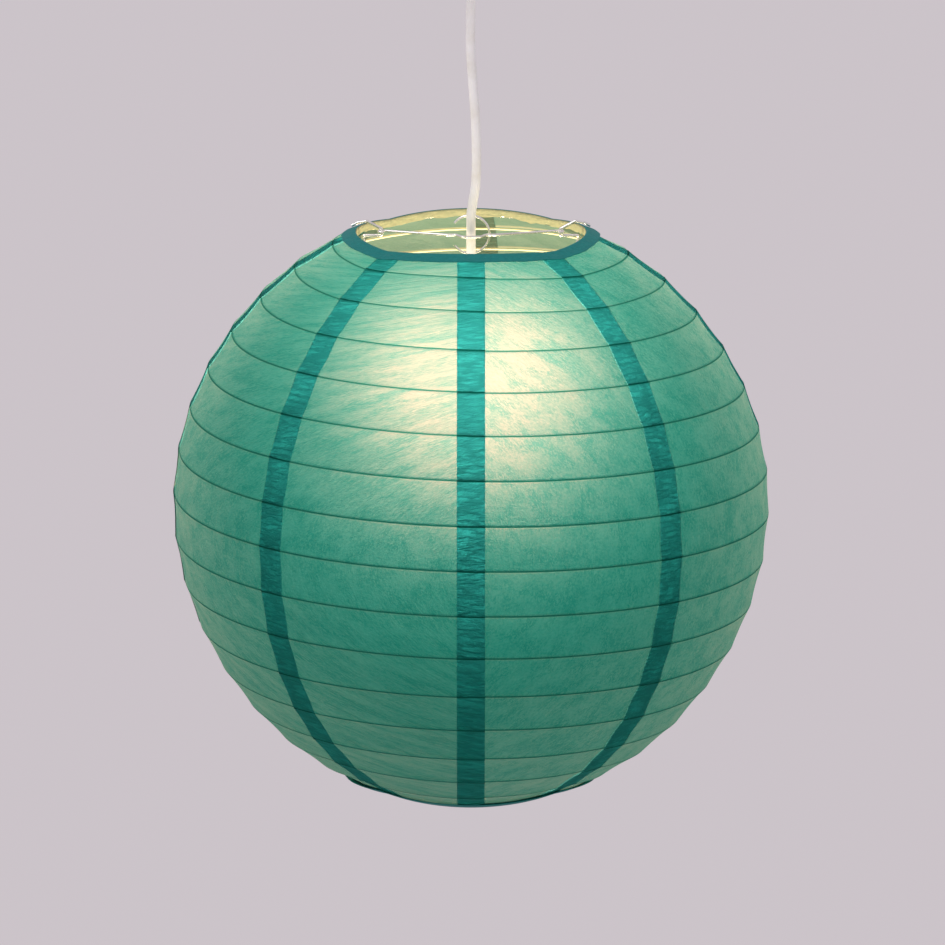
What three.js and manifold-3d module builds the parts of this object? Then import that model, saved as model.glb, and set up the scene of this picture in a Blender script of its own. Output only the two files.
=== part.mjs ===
// Paper globe lantern on a ceiling flex: spiral rib, eight paper gores, wire expander, lampholder and bulb.
// Millimetres, +Z up, origin in the middle of the ceiling face, with everything hanging below it.
import * as THREE from 'three';
import { mergeVertices } from 'three/addons/utils/BufferGeometryUtils.js';
import Module from 'manifold-3d';

const wasm = await Module();
wasm.setup();

// ---- driving dimensions ----
const CENTRE_Z = -355;        // the globe's middle below the ceiling
const GLOBE_R = 175;          // largest radius of the paper
const UPPER_H = 171.5;        // the ellipse's half height above the middle
const LOWER_H = 179;          // and below it, where the paper's weight stretches it
const OPENING_R = 67;         // clear radius of both openings
const RIM_RISE = 2.5;         // how far the expander lifts each ring at +X and -X
const AROUND = 40;            // facets round the globe
const SEAMS = [0, 41, 90, 133, 176, 223, 270, 319];   // degrees round from the front, glued a little unevenly
const PAPER_T = 0.4;
const GAP = 0.3;              // between touching pieces
const LAP = 16;               // how wide neighbouring gores overlap
const RING_WIRE_R = 1.25;
const RIB_WIRE_R = 0.75;
const RIB_PITCH = 8.6;        // degrees of the ellipse's parameter a turn
const RIB_FRONT = 8.8;        // the parameter at which a turn crosses the front
const RIB_STEPS = 20;         // steps a turn
const RIB_INSET = 2.5;        // rib's centre line inside the paper's inner face
const HEM_OUT = 6, HEM_IN = 5; // the hem's two flaps
const FRAME_WIRE_R = 0.9;
const FRAME_Y = 12;           // the expander's plane, behind the flex
const LEG_X = 62;
const EYE_X = 52.2;           // the frame's inner bends, which the crossbar hooks round
const BAR_Z = 159.3;          // the crossbar's height above the globe's middle
const BAR_WIRE_R = 0.8;
const CLIP_R = 11.3;
const CLIP_WIRE_R = 0.75;
const CORD_R = 2.75;
const SWING_Z = -43;          // where the flex bends at the gland
const HOLDER_TOP = 138;       // the lampholder's top above the globe's middle

const RING_R = OPENING_R + PAPER_T + GAP + RING_WIRE_R;
const OUTER_LAYER = PAPER_T + GAP;              // an outer gore lies this far outside an inner one
const HEM_LAYER = 2 * (PAPER_T + GAP);

// ---- materials ----
const mat = (color, roughness, metalness = 0) =>
  new THREE.MeshStandardMaterial({ color, roughness, metalness });
const paper = mat(0xa9bfa9, 0.9);
const hemPaper = mat(0x5d8279, 0.9);
const wire = mat(0xb9bcb8, 0.4, 0.9);
const ribWire = mat(0xd9d2b4, 0.7);
const flex = mat(0xe9e4da, 0.55);
const plastic = mat(0xf1efe8, 0.45);
const brass = mat(0xc9a24c, 0.35, 0.9);
const steel = mat(0xc4c6c8, 0.35, 0.9);
const opal = mat(0xfdf6e4, 0.3);
const board = mat(0x2e6b46, 0.6);

// ---- helpers ----
const lantern = new THREE.Group();

function add(name, geometry, material) {
  const mesh = new THREE.Mesh(geometry, material);
  mesh.name = name;
  lantern.add(mesh);
  return mesh;
}

function merged(geometry) {
  const g = geometry.index ? geometry.toNonIndexed() : geometry.clone();
  g.deleteAttribute('normal');
  g.deleteAttribute('uv');
  return mergeVertices(g, 1e-4);
}

function solid(geometry) {
  const g = merged(geometry);
  return new wasm.Manifold(new wasm.Mesh({
    numProp: 3,
    vertProperties: new Float32Array(g.attributes.position.array),
    triVerts: new Uint32Array(g.index.array),
  }));
}

function shape(manifold) {
  const mesh = manifold.getMesh();
  const g = new THREE.BufferGeometry();
  g.setAttribute('position', new THREE.BufferAttribute(new Float32Array(mesh.vertProperties), 3));
  g.setIndex(new THREE.BufferAttribute(new Uint32Array(mesh.triVerts), 1));
  return g;
}

// A closed section of [radius, z] points turned round Z.
function turned(points, around = 16) {
  const loop = [...points, points[0]].map(([r, z]) => new THREE.Vector2(r, z));
  let area = 0;
  for (let i = 0; i + 1 < loop.length; i++) area += loop[i].x * loop[i + 1].y - loop[i + 1].x * loop[i].y;
  if (area < 0) loop.reverse();
  return new THREE.LatheGeometry(loop, around).rotateX(Math.PI / 2);
}

// A solid of revolution whose outline starts and ends on the axis, from the bottom up.
function turnedSolid(points, around = 16) {
  return new THREE.LatheGeometry(points.map(([r, z]) => new THREE.Vector2(r, z)), around)
    .rotateX(Math.PI / 2);
}

// A hollow cylinder from z0 to z1.
const tube = (inner, outer, z0, z1, around = 16) =>
  turned([[inner, z0], [outer, z0], [outer, z1], [inner, z1]], around);

const disc = (radius, z0, z1, around = 16) =>
  turnedSolid([[0, z0], [radius, z0], [radius, z1], [0, z1]], around);

// A wire's path: straight runs joined by round bends, sampled so that steps fall on the bends.
class BentWire extends THREE.Curve {
  constructor(corners, bend, arcSteps = 4) {
    super();
    this.stops = [corners[0].clone()];
    for (let i = 1; i + 1 < corners.length; i++) {
      const into = corners[i].clone().sub(corners[i - 1]);
      const out = corners[i + 1].clone().sub(corners[i]);
      const room = Math.min(into.length(), out.length()) * 0.48;
      into.normalize();
      out.normalize();
      const turn = into.angleTo(out);
      const back = Math.min(bend * Math.tan(turn / 2), room);
      const a = corners[i].clone().addScaledVector(into, -back);
      const b = corners[i].clone().addScaledVector(out, back);
      const arc = new THREE.QuadraticBezierCurve3(a, corners[i], b);
      for (let k = 0; k <= arcSteps; k++) this.stops.push(arc.getPoint(k / arcSteps));
    }
    this.stops.push(corners.at(-1).clone());
  }
  get steps() { return this.stops.length - 1; }
  getPoint(t, target = new THREE.Vector3()) {
    const at = Math.min(t, 1) * this.steps;
    const i = Math.min(Math.floor(at + 1e-6), this.steps - 1);
    return target.copy(this.stops[i]).lerp(this.stops[i + 1], Math.max(0, at - i));
  }
  getPointAt(t, target) { return this.getPoint(t, target); }
  getTangent(t, target = new THREE.Vector3()) {
    const i = Math.round(t * this.steps);
    const before = this.stops[Math.max(i - 1, 0)];
    const after = this.stops[Math.min(i + 1, this.steps)];
    return target.copy(after).sub(before).normalize();
  }
  getTangentAt(t, target) { return this.getTangent(t, target); }
}

function wireSection(radius, sides) {
  const points = [];
  for (let i = 0; i < sides; i++) {
    const a = (i + 0.5) / sides * 2 * Math.PI;
    points.push(new THREE.Vector2(radius * Math.cos(a), radius * Math.sin(a)));
  }
  return new THREE.Shape(points);
}

function alongWire(path, radius, sides = 6, steps = path.steps) {
  return new THREE.ExtrudeGeometry(wireSection(radius, sides), { extrudePath: path, steps });
}

// corners are [x, z] in a plane of one y, above the globe's middle, or [x, y, z]
const place = (c) => c.length === 2
  ? new THREE.Vector3(c[0], FRAME_Y, c[1] + CENTRE_Z)
  : new THREE.Vector3(c[0], c[1], c[2] + CENTRE_Z);

const bentWire = (corners, bend, radius, sides = 6, arcSteps = 2) =>
  alongWire(new BentWire(corners.map(place), bend, arcSteps), radius, sides);

// ---- the globe's outline ----
const rad = THREE.MathUtils.degToRad;

// The paper's inner face at parameter t (degrees up from the middle), moved outwards along its normal.
function outline(t, outwards = 0) {
  const h = t < 0 ? LOWER_H : UPPER_H;
  const c = Math.cos(rad(t)), s = Math.sin(rad(t));
  const normal = new THREE.Vector2(h * c, GLOBE_R * s).normalize();
  return [GLOBE_R * c + outwards * normal.x, h * s + outwards * normal.y];
}

// The ring wire lies just inside the paper's end, so the paper ends a little further in than the ring.
const RING_INSET = RING_WIRE_R + GAP;
function endParameter(sign) {
  let t = 60;
  while (outline(sign * t, -RING_INSET)[0] > RING_R) t += 0.01;
  return sign * t;
}
const END = { top: endParameter(1), bottom: endParameter(-1) };
const RING_Z = { top: outline(END.top, -RING_INSET)[1], bottom: outline(END.bottom, -RING_INSET)[1] };

// Each ring is lifted (or lowered) by the expander at +X and -X, and the paper near it follows.
function lifted(geometry) {
  const p = geometry.attributes.position;
  for (let i = 0; i < p.count; i++) {
    const x = p.getX(i), y = p.getY(i), z = p.getZ(i);
    const end = z > 0 ? RING_Z.top : RING_Z.bottom;
    const share = THREE.MathUtils.smoothstep(z / end, 0.6, 1);
    const wave = (x * x - y * y) / (x * x + y * y);
    p.setZ(i, z + Math.sign(z) * RIM_RISE * wave * share + CENTRE_Z);
  }
  return geometry;
}

// ---- paper gores ----
const PROFILE_STEPS = 12;

function shell(inner) {
  const ends = [END.bottom, END.top];
  const points = [];
  for (let i = 0; i <= PROFILE_STEPS; i++) {
    points.push(outline(ends[0] + (ends[1] - ends[0]) * i / PROFILE_STEPS, inner + PAPER_T));
  }
  for (let i = PROFILE_STEPS; i >= 0; i--) {
    points.push(outline(ends[0] + (ends[1] - ends[0]) * i / PROFILE_STEPS, inner));
  }
  return solid(turned(points, AROUND));
}

// A tall prism whose plan is one gore and half a lap on each side.
function gorePrism(middle, half) {
  const apex = -(LAP / 2) / Math.sin(half);
  const reach = 2 * GLOBE_R;
  const corner = (a) => new THREE.Vector2(
    apex * Math.cos(middle) + reach * Math.cos(a),
    apex * Math.sin(middle) + reach * Math.sin(a),
  );
  const plan = new THREE.Shape([
    new THREE.Vector2(apex * Math.cos(middle), apex * Math.sin(middle)),
    corner(middle - half), corner(middle), corner(middle + half),
  ]);
  const prism = new THREE.ExtrudeGeometry(plan, { depth: 4 * UPPER_H, bevelEnabled: false });
  return solid(prism.translate(0, 0, -2 * UPPER_H));
}

// Odd gores lie outside even ones, so that every seam is a lap.
const layers = [shell(0), shell(OUTER_LAYER)];
for (let i = 0; i < SEAMS.length; i++) {
  const [first, second] = [SEAMS[i], SEAMS[i + 1] ?? 360].map((a) => (a - 90) * Math.PI / 180);
  const piece = layers[i % 2].intersect(gorePrism((first + second) / 2, (second - first) / 2));
  add(`paper_panel_${i + 1}`, lifted(shape(piece)), paper);
}

// ---- spiral rib ----
class Spiral extends THREE.Curve {
  constructor(from, to) {
    super();
    this.from = from;
    this.to = to;
  }
  getPoint(u, target = new THREE.Vector3()) {
    const t = this.from + (this.to - this.from) * u;
    const angle = -Math.PI / 2 + (RIB_FRONT - t) / RIB_PITCH * 2 * Math.PI;
    const [r, z] = outline(t, -RIB_INSET);
    return target.set(r * Math.cos(angle), r * Math.sin(angle), z);
  }
  getPointAt(u, target) { return this.getPoint(u, target); }
  getTangentAt(u, target) { return this.getTangent(u, target); }
}
const RIB_END = 2.6;         // degrees short of each ring
const ribFrom = END.top - RIB_END, ribTo = END.bottom + RIB_END;
const ribSteps = Math.round((ribFrom - ribTo) / RIB_PITCH * RIB_STEPS);
add('spiral_rib', lifted(merged(alongWire(new Spiral(ribFrom, ribTo), RIB_WIRE_R, 4, ribSteps))), ribWire);

// ---- rings and hems ----
for (const end of ['top', 'bottom']) {
  const up = end === 'top' ? 1 : -1;
  const ring = new THREE.TorusGeometry(RING_R, RING_WIRE_R, 5, AROUND).translate(0, 0, RING_Z[end]);
  add(`${end}_ring`, lifted(merged(ring)), wire);

  const t = END[end];
  const [r0, z0] = outline(t), [r1, z1] = outline(t, 1);
  const out = new THREE.Vector2(r1 - r0, z1 - z0);
  const down = new THREE.Vector2(Math.abs(out.y), -up * Math.abs(out.x));
  const at = (along, off) => [r0 + along * down.x + off * out.x, z0 + along * down.y + off * out.y];
  const lowest = RING_Z[end] - up * (RING_WIRE_R + HEM_IN - 2);
  const inner = OPENING_R, outer = OPENING_R + PAPER_T;
  const along = (r, off) => (r - r0 - off * out.x) / down.x;
  const lay = HEM_LAYER, skin = HEM_LAYER + PAPER_T;
  add(`${end}_hem`, lifted(merged(turned([
    at(HEM_OUT, lay), at(HEM_OUT, skin), at(along(inner + 1.2, skin), skin),
    [inner, at(along(inner, lay), lay)[1] - up * 0.9], [inner, lowest], [outer, lowest],
    [outer, at(along(outer, lay), lay)[1] - up * 1.0], at(along(inner + 1.4, lay), lay),
  ], AROUND))), hemPaper);
}

// ---- wire expander: hooks over the top rim, seat wires, legs, foot kinks and foot wire in one ----
const HOOK = [[70.2, 162.9], [66.8, 164.6], [61.2, 165.6]];
const SEAT_Z = 157;
const KINK_X = 64.4;         // the kinks that hold the bottom ring down, just inside its hem
const FOOT_Z = -163;
const halfFrame = [
  ...HOOK, [EYE_X, 160.8], [EYE_X, SEAT_Z], [KINK_X, SEAT_Z], [LEG_X, 152],
  [LEG_X, -146], [KINK_X, -153], [LEG_X - 1, FOOT_Z],
];
const mirrored = [...halfFrame].reverse().map(([x, z]) => [-x, z]);
add('expander_frame', merged(bentWire([...halfFrame, ...mirrored], 1.6, FRAME_WIRE_R)), wire);

// The crossbar hooks round both inner bends and passes in front of the flex.
const BAR_FRONT = -(CORD_R + GAP + BAR_WIRE_R);
const CLIP_Y = CORD_R + GAP + CLIP_WIRE_R;
const BAR_SIDE = CLIP_Y - CLIP_WIRE_R - GAP - BAR_WIRE_R;
const halfBar = [
  [5.5, BAR_FRONT], [8.7, BAR_SIDE], [14, BAR_SIDE], [EYE_X - 1.9, FRAME_Y + 2.1],
  [EYE_X + 2, FRAME_Y + 2.1], [EYE_X + 2, FRAME_Y - 2.1], [EYE_X - 1, FRAME_Y - 2.1],
].map(([x, y]) => [x, y, BAR_Z]);
const otherBar = [...halfBar].reverse().map(([x, y, z]) => [-x, y, z]);
add('crossbar', merged(bentWire([...otherBar, ...halfBar], 1.5, BAR_WIRE_R)), wire);

// The clip is an open C behind the flex, its back against the crossbar.
const CLIP_OPEN = 37;         // degrees either side of -X left open
const clipArc = new THREE.EllipseCurve(0, 0, CLIP_R, CLIP_R, rad(CLIP_OPEN - 180), rad(180 - CLIP_OPEN));
const clipPoints = clipArc.getPoints(14)
  .map((p) => new THREE.Vector3(p.x - 0.5, CLIP_Y, p.y + BAR_Z + CENTRE_Z));
const clipPath = new THREE.CatmullRomCurve3(clipPoints);
add('cord_clip', merged(alongWire(clipPath, CLIP_WIRE_R, 6, 14)), wire);

// ---- flex ----
// [x, height above the globe's middle], from the gland down into the lampholder
const swingHeight = SWING_Z - CENTRE_Z;
const FLEX_ROUTE = [
  [0, swingHeight], [0, swingHeight - 10], [-0.2, 288], [-0.3, 272], [0.9, 252], [2.4, 232],
  [3.2, 207], [2.7, 190], [1.2, 180], [0.1, 172], [0, 165], [0, 158], [0, 150], [0, 143], [0, 134],
  [0, 124],
];
const flexPath = new THREE.CatmullRomCurve3(
  FLEX_ROUTE.map(([x, z]) => new THREE.Vector3(x, 0, z + CENTRE_Z)));
add('power_cord', merged(alongWire(flexPath, CORD_R, 8, 28)), flex);

// ---- lampholder ----
const CORD_BORE = CORD_R + GAP;
const atCentre = (geometry) => geometry.translate(0, 0, CENTRE_Z);
const top = HOLDER_TOP;
add('lampholder_cap', atCentre(turned([
  [CORD_BORE, top], [6.5, top], [6.5, top - 5], [10, top - 7.5], [17, top - 12], [19.5, top - 19],
  [19.5, top - 30], [18, top - 30], [18, top - 19.5], [16, top - 13.7], [9.4, top - 9.2],
  [CORD_BORE, top - 7],
])), plastic);
add('lampholder_cord_grip', atCentre(tube(CORD_BORE, 7, top - 15, top - 10.5, 16)), plastic);
add('lampholder_insulator', atCentre(disc(17.4, top - 26, top - 20)), plastic);
for (const [side, x] of [['live', 9.5], ['neutral', -9.5]]) {
  const screw = disc(2, top - 20 + GAP, top - 17, 8).translate(x, 0, 0);
  add(`terminal_screw_${side}`, atCentre(screw), brass);
}
add('lampholder_screw_shell', atCentre(tube(13.7, 14.3, top - 48, top - 26 - GAP)), brass);
add('lampholder_skirt', atCentre(turned([
  [14.7, top - 50], [19, top - 50], [19.5, top - 48], [19.5, top - 30 - GAP],
  [17.7, top - 30 - GAP], [17.7, top - 46], [14.7, top - 47],
])), plastic);
const contact = new THREE.BoxGeometry(5, 15, 0.6).translate(0, 0, top - 26 - GAP - 0.3);
add('centre_contact', atCentre(contact), brass);

// ---- bulb: a small opal globe on an E27 screw base ----
const tip = top - 26 - GAP - 0.6 - GAP;
const GLOBE_LAMP_R = 23.5;
const GLOBE_LAMP_Z = tip - 55;
add('bulb_tip_contact', atCentre(turnedSolid([[0, tip - 1.4], [4.2, tip - 1.4], [4.2, tip - 0.7], [0, tip]])), steel);
add('bulb_base_insulator', atCentre(turnedSolid([
  [0, tip - 5.4], [7.4, tip - 5.4], [7.4, tip - 2.8], [5, tip - 1.4 - GAP], [0, tip - 1.4 - GAP],
])), mat(0x23211f, 0.4));
add('bulb_screw_base', atCentre(turned([
  [12.6, tip - 25], [13.3, tip - 25], [13.3, tip - 6], [8.6, tip - 3.9], [8, tip - 4.4],
  [12.6, tip - 6.6],
])), steel);
add('bulb_collar', atCentre(turned([
  [11.3, tip - 25 - GAP], [13.3, tip - 25 - GAP], [14.6, tip - 29], [20.4, tip - 40],
  [22, tip - 44], [20.6, tip - 44], [19.1, tip - 40], [13.2, tip - 29], [11.3, tip - 27.3],
])), plastic);
add('led_board', atCentre(disc(18, tip - 42.6, tip - 41.2)), board);
const driver = new THREE.BoxGeometry(14, 1.4, 28).translate(0, 0, tip - 25);
add('driver_board', atCentre(driver), board);

const globeArc = (radius, from, to, steps) => {
  const points = [];
  for (let i = 0; i <= steps; i++) {
    const a = rad(from + (to - from) * i / steps);
    points.push([radius * Math.cos(a), GLOBE_LAMP_Z + radius * Math.sin(a)]);
  }
  return points;
};
const NECK_ANGLE = 27;
const outerArc = globeArc(GLOBE_LAMP_R, -90, NECK_ANGLE, 9);
const innerArc = globeArc(GLOBE_LAMP_R - 1, NECK_ANGLE, -90, 9);
outerArc[0][0] = innerArc[innerArc.length - 1][0] = 0;
add('bulb_globe', atCentre(turnedSolid([...outerArc, ...innerArc])), opal);

// ---- ceiling rose ----
const PLATE_R = 40.5, PLATE_T = 2, PLATE_RIM = 9;
const ROSE_R = 45, ROSE_WALL = 1.6, ROSE_FLOOR = -32;
const SCREW_Z = -5.5, SCREW_HOLE_R = 1.9, SCREW_R = 1.5;

const alongX = (radius, x0, x1) => new THREE.CylinderGeometry(radius, radius, x1 - x0, 8)
  .rotateZ(Math.PI / 2).translate((x0 + x1) / 2, 0, SCREW_Z);
const screwHoles = solid(alongX(SCREW_HOLE_R, -2 * ROSE_R, -30)).add(solid(alongX(SCREW_HOLE_R, 30, 2 * ROSE_R)));

const plate = turnedSolid([
  [0, -PLATE_T], [PLATE_R - 1.5, -PLATE_T], [PLATE_R - 1.5, -PLATE_RIM], [PLATE_R, -PLATE_RIM],
  [PLATE_R, 0], [0, 0],
]);
add('mounting_plate', shape(solid(plate).subtract(screwHoles)), steel);
const cover = turned([
  [ROSE_R, -0.5], [ROSE_R, -8], [42, -20], [34, -27], [16, -31], [8, ROSE_FLOOR], [5.3, ROSE_FLOOR],
  [5.3, ROSE_FLOOR + ROSE_WALL], [15.7, -29.2], [33.2, -25.4], [40.4, -19], [ROSE_R - ROSE_WALL, -8],
  [ROSE_R - ROSE_WALL, -0.5],
], 24);
add('rose_cover', shape(solid(cover).subtract(screwHoles)), plastic);
for (const [side, sign] of [['right', 1], ['left', -1]]) {
  const head = solid(alongX(3.2, ROSE_R + GAP, ROSE_R + 2.2));
  const screw = shape(head.add(solid(alongX(SCREW_R, 37.5, ROSE_R + 1))));
  add(`cover_screw_${side}`, sign > 0 ? screw : screw.rotateZ(Math.PI), steel);
}
add('cord_gland', turned([
  [CORD_BORE, -21], [5, -21], [5, ROSE_FLOOR - GAP], [7.5, ROSE_FLOOR - GAP], [7.5, -40],
  [6.3, SWING_Z - 4], [5.2, SWING_Z - 4], [CORD_BORE, SWING_Z],
]), plastic);
add('gland_nut', tube(5.7, 8.8, ROSE_FLOOR + ROSE_WALL + 0.8, -25.6, 12), plastic);
const block = new THREE.BoxGeometry(24, 12, 9).translate(24, 0, -PLATE_T - GAP - 4.5);
add('terminal_block', block, plastic);
const tailPath = new BentWire([[0, SWING_Z + 1.4], [0, -15], [5.5, -6.8], [11.7, -6.8]]
  .map(([x, z]) => new THREE.Vector3(x, 0, z)), 5, 4);
add('cord_tail', merged(alongWire(tailPath, CORD_R, 10)), flex);

export default lantern;
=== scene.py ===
# Paper globe lantern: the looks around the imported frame. Metres, +Z up, origin at the ceiling.
import math

import bmesh
import bpy
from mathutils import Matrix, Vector, noise


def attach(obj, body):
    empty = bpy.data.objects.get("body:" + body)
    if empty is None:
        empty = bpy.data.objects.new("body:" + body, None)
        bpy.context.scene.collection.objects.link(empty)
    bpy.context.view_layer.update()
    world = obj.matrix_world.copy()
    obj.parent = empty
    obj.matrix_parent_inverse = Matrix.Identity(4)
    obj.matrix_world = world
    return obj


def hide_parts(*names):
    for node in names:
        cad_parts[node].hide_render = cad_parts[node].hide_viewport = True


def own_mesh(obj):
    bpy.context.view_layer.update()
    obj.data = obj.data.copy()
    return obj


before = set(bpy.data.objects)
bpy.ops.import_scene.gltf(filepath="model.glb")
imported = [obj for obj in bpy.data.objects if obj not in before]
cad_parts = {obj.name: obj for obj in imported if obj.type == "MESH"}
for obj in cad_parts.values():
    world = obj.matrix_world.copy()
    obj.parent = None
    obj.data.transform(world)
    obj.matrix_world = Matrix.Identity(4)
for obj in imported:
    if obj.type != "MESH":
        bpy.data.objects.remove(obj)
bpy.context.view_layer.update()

# ---- driving dimensions, the same as the CAD part's ----
MM = 0.001
CENTRE_Z = -0.355            # the globe's middle below the ceiling
GLOBE_R = 0.175
UPPER_H = 0.1715
LOWER_H = 0.179
OPENING_R = 0.067
RIM_RISE = 0.0025            # the expander lifts each ring at +X and -X
SEAMS = (0, 41, 90, 133, 176, 223, 270, 319)    # degrees round from the front
LAP = 0.016
LAYER = 0.0007               # an outer gore lies this far outside an inner one
RIB_PITCH = 8.6              # degrees of the ellipse's parameter a turn
RIB_FRONT = 8.8
RIB_R = 0.0006
RING_WIRE_R = 0.00125
GAP = 0.0003
FRAME_WIRE_R = 0.0009
FRAME_Y = 0.012
BAR_Z = 0.1593               # the crossbar's height above the globe's middle
BAR_WIRE_R = 0.0008
CLIP_R = 0.0113
CLIP_WIRE_R = 0.00075
CORD_R = 0.00275
HOLDER_TOP = 0.138

# ---- camera: the photograph's angle, seen from well back ----
ELEVATION = math.radians(13.4)
DISTANCE = 4.0
VIEW_WIDTH = 0.5585          # how wide the picture is at the globe
AIM_RIGHT, AIM_UP = 0.0009, 0.01625


def add_camera():
    up = Vector((0, math.sin(ELEVATION), math.cos(ELEVATION)))
    back = Vector((0, -math.cos(ELEVATION), math.sin(ELEVATION)))
    target = Vector((AIM_RIGHT, 0, CENTRE_Z)) + up * AIM_UP
    data = bpy.data.cameras.new("camera")
    data.sensor_width = 36
    data.lens = 36 * DISTANCE / VIEW_WIDTH
    data.clip_end = 60
    camera = bpy.data.objects.new("camera", data)
    camera.location = target + back * DISTANCE
    camera.rotation_euler = (math.pi / 2 - ELEVATION, 0, 0)
    bpy.context.collection.objects.link(camera)
    bpy.context.scene.camera = camera


# ---- making pieces ----
ON_AXIS = 1e-6               # a section's point this near the axis is on it


def link(name, mesh, body, material, replaces=()):
    piece = bpy.data.objects.new(name, mesh)
    bpy.context.collection.objects.link(piece)
    mesh.materials.append(material)
    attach(piece, body)
    if replaces:
        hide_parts(*replaces)
    return piece


def smooth(mesh, angle=40):
    mesh.shade_smooth()
    mesh.set_sharp_from_angle(angle=math.radians(angle))
    return mesh


def solid_mesh(bm, name, angle):
    """The bmesh as a smooth mesh with its faces turned outwards."""
    bmesh.ops.recalc_face_normals(bm, faces=bm.faces)
    mesh = bpy.data.meshes.new(name)
    bm.to_mesh(mesh)
    bm.free()
    return smooth(mesh, angle)


def around_circle(count):
    return [2 * math.pi * k / count for k in range(count)]


def wire_mesh(name, points, radius, sides=12, closed=False):
    """A round wire along points, with flat ends where it isn't closed."""
    points = [Vector(p) for p in points]
    count = len(points)
    bm = bmesh.new()
    rings = []
    side = None
    for i, p in enumerate(points):
        before = points[i - 1] if i > 0 or closed else p
        after = points[(i + 1) % count] if i + 1 < count or closed else p
        tangent = (after - before).normalized()
        if side is None:
            seed = Vector((0, 0, 1)) if abs(tangent.z) < 0.9 else Vector((1, 0, 0))
            side = tangent.cross(seed).normalized()
        else:
            side = (side - tangent * side.dot(tangent)).normalized()
        other = tangent.cross(side)
        rings.append([
            bm.verts.new(p + radius * (math.cos(a) * side + math.sin(a) * other))
            for a in around_circle(sides)
        ])
    last = count if closed else count - 1
    for i in range(last):
        a, b = rings[i], rings[(i + 1) % count]
        shift = 0
        if closed and i == count - 1:
            shift = min(range(sides), key=lambda s: (b[s].co - a[0].co).length)
        for k in range(sides):
            n = (k + 1) % sides
            bm.faces.new((a[k], a[n], b[(n + shift) % sides], b[(k + shift) % sides]))
    if not closed:
        bm.faces.new(list(reversed(rings[0])))
        bm.faces.new(rings[-1])
    return solid_mesh(bm, name, 50)


def lathe_mesh(name, profile, z=0.0, around=64, closed=True, angle=35):
    """A section of (radius, height) points, in millimetres, turned round Z."""
    bm = bmesh.new()
    rings = []
    for r, h in profile:
        if r < ON_AXIS:
            rings.append([bm.verts.new((0, 0, z + h * MM))])
            continue
        rings.append([
            bm.verts.new((r * MM * math.cos(a), r * MM * math.sin(a), z + h * MM))
            for a in around_circle(around)
        ])
    pairs = list(zip(rings, rings[1:]))
    if closed:
        pairs.append((rings[-1], rings[0]))
    for a, b in pairs:
        if len(a) == 1 and len(b) == 1:
            continue
        for k in range(around):
            n = (k + 1) % around
            if len(a) == 1:
                bm.faces.new((a[0], b[n], b[k]))
            elif len(b) == 1:
                bm.faces.new((a[k], a[n], b[0]))
            else:
                bm.faces.new((a[k], a[n], b[n], b[k]))
    return solid_mesh(bm, name, angle)


def rounded(corners, bend, steps=6):
    """Straight runs joined by round bends."""
    corners = [Vector(c) for c in corners]
    points = [corners[0]]
    for before, corner, after in zip(corners, corners[1:], corners[2:]):
        into, out = corner - before, after - corner
        room = min(into.length, out.length) * 0.48
        into.normalize()
        out.normalize()
        back = min(bend * math.tan(into.angle(out) / 2), room)
        a, b = corner - into * back, corner + out * back
        for k in range(steps + 1):
            t = k / steps
            points.append(a * (1 - t) ** 2 + corner * 2 * t * (1 - t) + b * t * t)
    points.append(corners[-1])
    return points


# ---- the globe's outline ----
def outline(t, outwards=0.0):
    """Radius and height above the middle at parameter t, in degrees, moved outwards."""
    h = LOWER_H if t < 0 else UPPER_H
    c, s = math.cos(math.radians(t)), math.sin(math.radians(t))
    normal = Vector((h * c, GLOBE_R * s)).normalized()
    return Vector((GLOBE_R * c, h * s)) + outwards * normal


RING_INSET = RING_WIRE_R + GAP
RING_R = OPENING_R + 0.0004 + GAP + RING_WIRE_R


def end_parameter(sign):
    t = 60.0
    while outline(sign * t, -RING_INSET)[0] > RING_R:
        t += 0.01
    return sign * t


T_TOP, T_BOTTOM = end_parameter(1), end_parameter(-1)
RING_TOP_Z = outline(T_TOP, -RING_INSET)[1]
RING_BOTTOM_Z = outline(T_BOTTOM, -RING_INSET)[1]


def lifted(x, y, z):
    """A point above the globe's middle, in the row frame, with the rings' wave in it."""
    end = RING_TOP_Z if z > 0 else RING_BOTTOM_Z
    s = min(max((z / end - 0.6) / 0.4, 0), 1)
    share = s * s * (3 - 2 * s)
    wave = (x * x - y * y) / max(x * x + y * y, 1e-9)
    return Vector((x, y, z + math.copysign(RIM_RISE * wave * share, z) + CENTRE_Z))


def rib_parameter(angle, turn):
    """Where the rib's given turn crosses the meridian at angle."""
    return RIB_FRONT + RIB_PITCH * turn - RIB_PITCH * (angle + math.pi / 2) / (2 * math.pi)


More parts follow.
